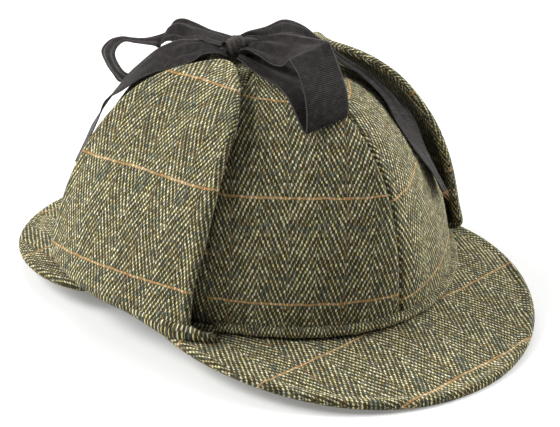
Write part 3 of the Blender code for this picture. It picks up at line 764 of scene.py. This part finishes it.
def ribbon(name, stations, material):
    """A ribbon: drawn into lengthwise folds where it is narrow, with a slight curl across."""
    table = np.array(stations, float)
    aim, lean = np.radians(table[:, 3]), np.radians(table[:, 4])
    across = np.stack([np.cos(aim) * np.cos(lean), np.sin(aim) * np.cos(lean), np.sin(lean)], -1)
    near = through(table[:, :3] - across * table[:, 5:] / 2, RIBBON_ROWS)
    far = through(table[:, :3] + across * table[:, 5:] / 2, RIBBON_ROWS)
    middle = (near + far) / 2
    run = unit(np.gradient(middle, axis=0))
    wide = far - near
    width = np.linalg.norm(wide, axis=-1)
    normal = unit(np.cross(run, wide))
    share = np.linspace(0, 1, RIBBON_COLUMNS + 1)
    slack = np.clip(RIBBON_WIDTH / width, 1, None)
    height = np.clip(width * np.sqrt(slack - 1) / (PLEATS * np.pi) * PLEAT_FILL, 0, PLEAT_LIMIT)
    seed = sum(ord(letter) for letter in name)
    pleat = height[:, None] * np.sin(2 * np.pi * PLEATS * share[None, :] + seed % 7)
    pleat *= np.sin(np.pi * share[None, :]) ** PLEAT_EDGE_POWER
    sheet = near[:, None] + wide[:, None] * share[None, :, None]
    curl = ripple(sheet, CURL_SIZE, seed) * CURL
    sheet = sheet + normal[:, None] * (pleat + curl)[..., None]
    dv = np.gradient(sheet, axis=1)
    du = np.gradient(sheet, axis=0)
    surface = unit(np.cross(du, dv))
    edge = np.minimum(share, 1 - share)[None, :] * width[:, None]
    thick = RIBBON_HALF * (1 - EDGE_THINNER + EDGE_THINNER * share_of(edge, EDGE_TAPER))[..., None]
    upper, lower = sheet + surface * thick, sheet - surface * thick
    along = lengths(middle, 0)[:, None] + 0 * share[None, :]
    v = (share[None, :] - .5) * RIBBON_WIDTH + 0 * along
    cloth = np.stack([along, v], -1)
    grids = [(upper, cloth, False), (lower, cloth, True),
             *joined(upper, lower, cloth, (np.s_[:, 0], np.s_[0], np.s_[:, -1], np.s_[-1]))]
    if name == FRAYED:
        grids += frayed_threads(sheet[-1], run[-1], seed)
    piece = build(f"cloth_{name}", grids, material, [name], weld=.002)
    return piece


def knot(material):
    """The knot: ribbon wrapped round the drawn-in loops."""
    axis = unit(np.array(KNOT_AXIS))
    up = unit(np.cross(axis, np.array(KNOT_ACROSS)))
    back = np.cross(axis, up)
    a = np.linspace(0, 2 * np.pi, KNOT_COLUMNS)[None, :]
    s = np.linspace(-1, 1, KNOT_ROWS)[:, None]
    end = share_of(np.abs(s) - KNOT_SHARE, 1 - KNOT_SHARE)
    s = np.clip(s / KNOT_SHARE, -1, 1)
    belly = np.sqrt(np.clip(1 - (s * KNOT_BELLY) ** 2, 0, 1)) ** KNOT_BELLY_POWER
    crease = (KNOT_CREASE * np.sin(s * KNOT_CREASES + KNOT_CREASE_SWAY * np.sin(a)) * (1 - s ** 2)
              + KNOT_LUMPS * np.sin(3 * a + 2 * s))
    wrapped = (1 - end) ** 2
    core = KNOT_CORE_RADIUS * np.sqrt(1 - end ** 2) * (1 - wrapped) + KNOT_CORE_TIP * end
    high = (KNOT_HIGH * belly + crease) * wrapped + core
    deep = (KNOT_DEEP * belly + crease) * wrapped + core
    along = s * KNOT_HALF + np.sign(s) * end * KNOT_CORE
    points = (np.array(KNOT_CENTRE) + axis * (along + KNOT_SWAY * np.sin(2 * a))[..., None]
              + up * (high * np.sin(a))[..., None] + back * (deep * np.cos(a))[..., None])
    round_it, slant, along_it = KNOT_CLOTH
    cloth = np.stack([a * round_it + s * slant, s * along_it + 0 * a], -1)
    grids = [(points, cloth, False), *end_caps(points, cloth, ring_centres(points))]
    return build("cloth_bow_knot", grids, material, ["bow_knot"])


# ---------------------------------------------------------------- materials

class Nodes:
    """Short calls for making a material's nodes."""

    def __init__(self, name):
        self.material = bpy.data.materials.new(name)
        self.material.use_nodes = True
        self.tree = self.material.node_tree
        self.shader = self.tree.nodes["Principled BSDF"]

    def put(self, socket, value):
        if isinstance(value, bpy.types.NodeSocket):
            self.tree.links.new(value, socket)
        elif isinstance(value, tuple) and len(value) == 3 and socket.type == "RGBA":
            socket.default_value = (*value, 1)
        else:
            socket.default_value = value

    def surface(self, settings):
        for name, value in settings.items():
            self.shader.inputs[name].default_value = value

    def math(self, operation, *values):
        node = self.tree.nodes.new("ShaderNodeMath")
        node.operation = operation
        for socket, value in zip(node.inputs, values):
            self.put(socket, value)
        return node.outputs[0]

    def span(self, value, low, high, to_low=0.0, to_high=1.0):
        node = self.tree.nodes.new("ShaderNodeMapRange")
        node.interpolation_type = "SMOOTHSTEP"
        for socket, item in zip(node.inputs, (value, low, high, to_low, to_high)):
            self.put(socket, item)
        return node.outputs[0]

    def mix(self, share, a, b, blend="MIX"):
        node = self.tree.nodes.new("ShaderNodeMix")
        node.data_type = "RGBA"
        node.blend_type = blend
        self.put(node.inputs[0], share)
        self.put(node.inputs[6], a)
        self.put(node.inputs[7], b)
        return node.outputs[2]

    def join(self, x, y, z=0.0):
        node = self.tree.nodes.new("ShaderNodeCombineXYZ")
        for socket, value in zip(node.inputs, (x, y, z)):
            self.put(socket, value)
        return node.outputs[0]

    def noise(self, vector, scale, detail=2.0, roughness=.5):
        node = self.tree.nodes.new("ShaderNodeTexNoise")
        self.put(node.inputs["Vector"], vector)
        node.inputs["Scale"].default_value = scale
        node.inputs["Detail"].default_value = detail
        node.inputs["Roughness"].default_value = roughness
        return node.outputs[0]

    def random(self, vector):
        node = self.tree.nodes.new("ShaderNodeTexWhiteNoise")
        node.noise_dimensions = "3D"
        self.put(node.inputs["Vector"], vector)
        return node.outputs[0]

    def wander(self, value, vector, kinds):
        """A value that noise pushes to and fro, by half its reach each way."""
        for scale, reach in kinds:
            push = self.math("MULTIPLY_ADD", self.noise(vector, scale), reach, -reach / 2)
            value = self.math("ADD", value, push)
        return value

    def cloth(self):
        node = self.tree.nodes.new("ShaderNodeUVMap")
        node.uv_map = "cloth"
        parts = self.tree.nodes.new("ShaderNodeSeparateXYZ")
        self.tree.links.new(node.outputs[0], parts.inputs[0])
        return parts.outputs[0], parts.outputs[1]

    def bump(self, height, distance, strength):
        node = self.tree.nodes.new("ShaderNodeBump")
        node.inputs["Distance"].default_value = distance
        node.inputs["Strength"].default_value = strength
        self.put(node.inputs["Height"], height)
        self.put(self.shader.inputs["Normal"], node.outputs[0])


def tweed():
    """Herringbone tweed: pale dashes in steep twill lines over a dark ground, mirrored in
    columns, with flecks of colour and a fine orange and rust overcheck."""
    n = Nodes("tweed_herringbone")
    u, v = n.cloth()
    place = n.join(u, v)
    turned = n.join(v, u, 7.0)
    u = n.wander(u, place, WARP_WANDER)
    v = n.wander(v, turned, WEFT_WANDER)

    # which pick, thread and dash a place is on
    mirrored = n.math("PINGPONG", u, COLUMN)
    parity = n.math("PINGPONG", n.math("FLOOR", n.math("DIVIDE", u, COLUMN)), 1.0)
    pick = n.math("DIVIDE", v, PICK)
    row = n.math("FLOOR", pick)
    within = n.math("SUBTRACT", n.math("FRACT", pick), .5)
    lean = n.math("MULTIPLY_ADD", within, DASH_LEAN, row)
    lean = n.math("MULTIPLY_ADD", parity, -TWILL / 2, lean)
    thread = n.math("SUBTRACT", n.math("DIVIDE", mirrored, THREAD), lean)
    repeat = n.math("DIVIDE", thread, float(TWILL))
    dash_id = n.math("FLOOR", repeat)
    off = n.math("MULTIPLY", n.math("ABSOLUTE", n.math("SUBTRACT", n.math("FRACT", repeat), .5)),
                 float(TWILL))
    chance = n.random(n.join(dash_id, row, parity))
    chance_two = n.random(n.join(dash_id, row, 5.5))
    chance_three = n.random(n.join(row, parity, dash_id))

    # the dash itself, softer at its ends
    half_width = n.math("MULTIPLY_ADD", chance, DASH_VARIES, DASH_HALF)
    body = n.span(off, half_width, n.math("SUBTRACT", half_width, DASH_SOFT))
    ends = n.span(n.math("ABSOLUTE", within), .18, .50, 1.0,
                  n.math("MULTIPLY_ADD", chance_two, .36, .26))
    dash = n.math("MULTIPLY", body, ends)
    blotch = n.noise(place, .11, 3.0, .6)
    fibre = n.noise(place, 2.6, 3.0, .7)
    hair = n.noise(n.join(n.math("MULTIPLY", u, 3.2), v), 1.3, 2.0)

    # pale and dark threads, with some grey, tan and middling ones
    pale = n.mix(n.span(chance_two, .15, .85), *PALE_THREADS)
    pale = n.mix(n.span(chance_three, .84, .88), pale, GREY_THREAD)
    pale = n.mix(n.span(chance_three, .11, .08), pale, TAN_THREAD)
    dark = n.mix(n.span(chance_three, .45, .75), *DARK_THREADS)
    between = n.random(n.join(n.math("FLOOR", thread), row, 3.3))
    dark = n.mix(n.span(between, .45, 1.0, 0.0, .7), dark, BETWEEN_THREAD)
    dark = n.mix(n.span(fibre, .54, .74, 0.0, .8), dark, FIBRE)
    colour = n.mix(n.math("MULTIPLY", dash, n.span(hair, .30, .55, .45, 1.0)), dark, pale)
    tone = n.math("ADD", n.math("MULTIPLY", blotch, .5), n.math("MULTIPLY", chance, .45))
    tone = n.math("ADD", tone, n.math("MULTIPLY_ADD", n.noise(place, 2.1), 1.1, .13))
    colour = n.mix(1.0, colour, n.join(tone, tone, tone), "MULTIPLY")

    # the overcheck: orange picks, and rust threads where some columns meet
    line = n.math("COMPARE", n.math("WRAP", row, float(CHECK_PICKS), 0.0), 0.0, .4)
    line = n.math("MULTIPLY", line, n.span(n.math("ABSOLUTE", within), .20, .46, 1.0, .0))
    line_tone = n.mix(n.span(chance_two, .35, .65), *ORANGE_LINES)
    line_show = n.math("MULTIPLY", line, n.math("MULTIPLY_ADD", body, -.45, .80))
    line_show = n.math("MULTIPLY", line_show, n.span(hair, .30, .50, .55, 1.0))
    colour = n.mix(line_show, colour, line_tone)
    spread = COLUMN * CHECK_COLUMNS
    side = n.math("ABSOLUTE", n.math("WRAP", u, spread / 2, -spread / 2))
    rust = n.math("MULTIPLY", n.span(side, .75, .45), n.math("GREATER_THAN", chance, .45))
    rust = n.math("MULTIPLY", rust, n.math("MULTIPLY_ADD", dash, .70, .06))
    colour = n.mix(rust, colour, RUST_LINE)

    n.put(n.shader.inputs["Base Color"], colour)
    n.surface(TWEED_SURFACE)
    height = n.math("ADD", n.math("MULTIPLY", dash, .8), n.math("MULTIPLY", fibre, .5))
    n.bump(height, *TWEED_BUMP)
    return n.material


def grosgrain(name, least_wear_and_light, most_wear_and_light):
    """Ribbed ribbon: fine ribs across its width, a plain selvedge, specks of lint and lighter
    patches: worn ones at random, and painted light where most of the ribbon takes the lighter
    colour, as on the knot.
    """
    n = Nodes(name)
    u, v = n.cloth()
    place = n.join(u, v)
    rib = n.math("ABSOLUTE", n.math("SINE", n.math("MULTIPLY", u, math.pi / RIB)))
    to_edge = n.math("SUBTRACT", RIBBON_WIDTH / 2, n.math("ABSOLUTE", v))
    selvedge = n.span(to_edge, .8, .45)
    worn_and_lit = n.noise(place, .30, 3.0, .6)
    fibre = n.noise(n.join(n.math("MULTIPLY", u, .5), n.math("MULTIPLY", v, 3.0)), 2.0, 2.0)
    colour = n.mix(n.span(rib, .1, .8), *RIBBON_RIBS)
    # lighter patches of one colour: worn at random on the ribbons, and painted light over most of
    # the knot
    colour = n.mix(n.span(worn_and_lit, .42, .75, least_wear_and_light, most_wear_and_light), colour, RIBBON_WORN_AND_LIT)
    colour = n.mix(n.math("MULTIPLY", selvedge, .55), colour, RIBBON_WORN_AND_LIT)
    lint = n.span(n.noise(place, 1.9, 2.0), .66, .73, 0.0, .6)
    colour = n.mix(lint, colour, LINT)
    loose = n.math("LESS_THAN", to_edge, -LOOSE_BEYOND)
    colour = n.mix(loose, colour, FRAYED_THREAD)
    n.put(n.shader.inputs["Base Color"], colour)
    n.surface(RIBBON_SURFACE)
    height = n.math("ADD", rib, n.math("MULTIPLY", fibre, .35))
    n.bump(height, *RIBBON_BUMP)
    return n.material


def plain_floor():
    """White paper that glows a little, for the photo's white ground."""
    n = Nodes("floor_paper")
    n.surface(FLOOR_SURFACE)
    return n.material


# ---------------------------------------------------------------- the hat

tweed_cloth = tweed()
ribbon_cloth = grosgrain("ribbon_grosgrain", 0.0, .3)
# the knot's copy of the ribbon shows the lighter colour over most of it: painted light, for the
# light that the knot catches
knot_cloth = grosgrain("ribbon_grosgrain_painted_lighter", .6, 1.0)

for panel in range(PANELS):
    crown_panel(panel, tweed_cloth)
end_gap = math.degrees(GAP / HEAD_HALF_LENGTH)
front_ends = [flap.side * (flap.front_foot - end_gap) for flap in FLAPS.values()]
crown_roll("roll_cloth_front", min(front_ends), max(front_ends), tweed_cloth, ["crown_roll_front"])
crown_roll("roll_cloth_back", FLAP_BACK + end_gap, 360 - FLAP_BACK - end_gap,
           tweed_cloth, ["crown_roll_back"])
for which in PEAKS:
    peak(which, tweed_cloth)
for which in FLAPS:
    ear_flap(which, tweed_cloth)
for ribbon_name, ribbon_stations in RIBBONS.items():
    ribbon(ribbon_name, ribbon_stations, ribbon_cloth)
knot(knot_cloth)

# ---------------------------------------------------------------- floor, light and camera

floor_mesh = bpy.data.meshes.new("floor")
floor_mesh.from_pydata([(-FLOOR_HALF, -FLOOR_HALF, 0), (FLOOR_HALF, -FLOOR_HALF, 0),
                        (FLOOR_HALF, FLOOR_HALF, 0), (-FLOOR_HALF, FLOOR_HALF, 0)],
                       [], [(0, 1, 2, 3)])
floor_mesh.materials.append(plain_floor())
floor = bpy.data.objects.new("floor", floor_mesh)
bpy.context.collection.objects.link(floor)

world = bpy.data.worlds.new("studio")
world.use_nodes = True
world.node_tree.nodes["Background"].inputs[0].default_value = (1, 1, 1, 1)
world.node_tree.nodes["Background"].inputs[1].default_value = WORLD_STRENGTH
bpy.context.scene.world = world


def towards(azimuth, elevation):
    """The way from the hat to a light or the camera."""
    a, e = math.radians(azimuth), math.radians(elevation)
    return Vector((math.sin(a) * math.cos(e), -math.cos(a) * math.cos(e), math.sin(e)))


def soft_light(name, azimuth, elevation, power):
    """A square soft box that faces the hat."""
    data = bpy.data.lights.new(name, "AREA")
    data.shape = "SQUARE"
    data.size = LIGHT_SIZE
    data.energy = power
    light = bpy.data.objects.new(name, data)
    back = towards(azimuth, elevation)
    light.location = back * LIGHT_DISTANCE + Vector((0, 0, LIGHT_AIM))
    light.rotation_euler = back.to_track_quat("Z", "Y").to_euler()
    bpy.context.collection.objects.link(light)


for light_name, (azimuth, elevation, power) in LIGHTS.items():
    soft_light(light_name, azimuth, elevation, power)

camera_turn, camera_roll = math.radians(CAMERA_AZIMUTH), math.radians(CAMERA_ROLL)
back = towards(CAMERA_AZIMUTH, CAMERA_ELEVATION)
level = Vector((math.cos(camera_turn), math.sin(camera_turn), 0))
upright = back.cross(level)
right = level * math.cos(camera_roll) + upright * math.sin(camera_roll)
up = upright * math.cos(camera_roll) - level * math.sin(camera_roll)
camera_data = bpy.data.cameras.new("camera")
camera_data.sensor_fit = "HORIZONTAL"
camera_data.sensor_width = SENSOR
camera_data.lens = FOCAL_PIXELS * SENSOR / PHOTO_WIDTH
camera = bpy.data.objects.new("camera", camera_data)
bpy.context.collection.objects.link(camera)
place = (right * CAMERA_RIGHT + up * CAMERA_UP + back * CAMERA_DISTANCE
         + Vector((0, FOOT_FORWARD * MM, FOOT_HEIGHT * MM)))
turned = Matrix((right, up, back)).transposed().to_4x4()
camera.matrix_world = Matrix.Translation(place) @ turned

scene = bpy.context.scene
scene.camera = camera
scene.view_settings.view_transform = "Standard"
scene.view_settings.look = "None"
